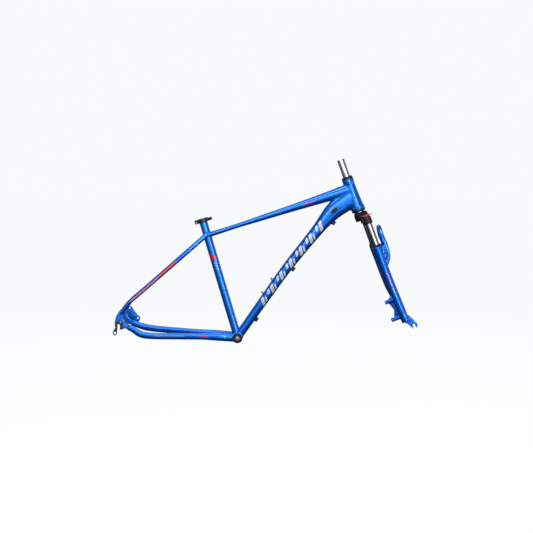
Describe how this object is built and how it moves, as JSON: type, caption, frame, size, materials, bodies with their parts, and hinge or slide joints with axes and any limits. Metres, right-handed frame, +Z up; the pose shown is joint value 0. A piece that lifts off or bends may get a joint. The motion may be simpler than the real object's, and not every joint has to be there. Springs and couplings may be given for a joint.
{
  "type": "bicycle frame",
  "caption": "Welded hardtail mountain bicycle frameset with a tapered-stay rear triangle, headset, bottom bracket and telescopic fork.",
  "frame": {"origin": "centre of the bottom bracket shell", "axes": "+X forward, +Y to the rider's left along the bottom bracket axis, +Z up"},
  "size_m": [1.1785, 0.169, 0.7171],
  "materials": {
    "blue_paint": "gloss",
    "black_anodised": "satin",
    "black_plastic": "satin",
    "rubber": "matte",
    "chrome_tube": "polished",
    "steel": "satin",
    "red_anodised": "satin",
    "bare_alloy": "satin"
  },
  "bodies": {
    "frame": {"head_tube": "blue_paint", "top_tube": "blue_paint", "down_tube": "blue_paint", "seat_tube": "blue_paint", "bottom_bracket_shell": "blue_paint", "chainstay_right": "blue_paint", "seatstay_right": "blue_paint", "dropout_right": "blue_paint", "chainstay_left": "blue_paint", "seatstay_left": "blue_paint", "dropout_left": "blue_paint", "chainstay_bridge": "blue_paint", "seatstay_bridge": "blue_paint", "derailleur_hanger": "black_anodised", "hanger_bolt": "steel", "bottle_boss_lower": "bare_alloy", "bottle_bolt_lower": "black_anodised", "bottle_boss_upper": "bare_alloy", "bottle_bolt_upper": "black_anodised", "cable_guide_lower": "black_plastic", "cable_guide_middle": "black_plastic", "cable_guide_upper": "black_plastic", "cable_port_grommet": "rubber", "seat_collar": "black_anodised", "clamp_skewer": "steel", "clamp_nut": "black_anodised", "cam_washer": "black_plastic", "lever_pin": "steel", "bottom_bracket_cup_right": "black_anodised", "bottom_bracket_cup_left": "black_anodised", "bottom_bracket_sleeve": "steel", "bottom_bracket_bearing_right": "steel", "bottom_bracket_bearing_left": "steel", "headset_upper_cup": "black_anodised", "headset_upper_bearing": "steel", "headset_lower_cup": "black_anodised", "headset_lower_bearing": "steel"},
    "fork": {"compression_ring": "steel", "headset_top_cover": "black_anodised", "crown_race": "steel", "steerer_tube": "bare_alloy", "fork_crown": "black_anodised", "stanchion_right": "chrome_tube", "stanchion_left": "chrome_tube", "damper_cap": "black_anodised", "preload_cap": "black_anodised", "damper_cartridge": "bare_alloy", "coil_spring": "steel"},
    "lowers": {"fork_lowers": "blue_paint", "wiper_seal_right": "rubber", "wiper_seal_left": "rubber", "foot_bolt_right": "steel", "foot_bolt_left": "steel", "damper_rod": "steel", "spring_rod": "bare_alloy"},
    "lockout": {"lockout_dial": "red_anodised"},
    "preload": {"preload_knob": "black_plastic"},
    "lever": {"clamp_lever": "black_anodised"},
    "spindle": {"bottom_bracket_spindle": "steel"}
  },
  "joints": [
    {"name": "steering", "type": "hinge", "parent": "frame", "child": "fork", "pos_m": [0.4698, 0, 0.4996], "axis": [-0.342, 0, 0.9397], "range_deg": [-80, 80]},
    {"name": "fork_travel", "type": "slide", "parent": "fork", "child": "lowers", "axis": [-0.342, 0, 0.9397], "range_m": [0, 0.08], "stiffness_N_per_m": 7000, "deforming": ["coil_spring"]},
    {"name": "lockout_turn", "type": "hinge", "parent": "fork", "child": "lockout", "pos_m": [0.49253, -0.065, 0.47808], "axis": [-0.342, 0, 0.9397], "range_deg": [-90, 0]},
    {"name": "preload_turn", "type": "hinge", "parent": "fork", "child": "preload", "pos_m": [0.49253, 0.065, 0.47808], "axis": [-0.342, 0, 0.9397], "range_deg": [0, 300]},
    {"name": "clamp_lever_turn", "type": "hinge", "parent": "frame", "child": "lever", "pos_m": [-0.15891, 0.0176, 0.44785], "axis": [-0.2823, 0, 0.9593], "range_deg": [0, 165]},
    {"name": "spindle_turn", "type": "hinge", "parent": "frame", "child": "spindle", "pos_m": [0, 0, 0], "axis": [0, 1, 0], "continuous": true}
  ]
}
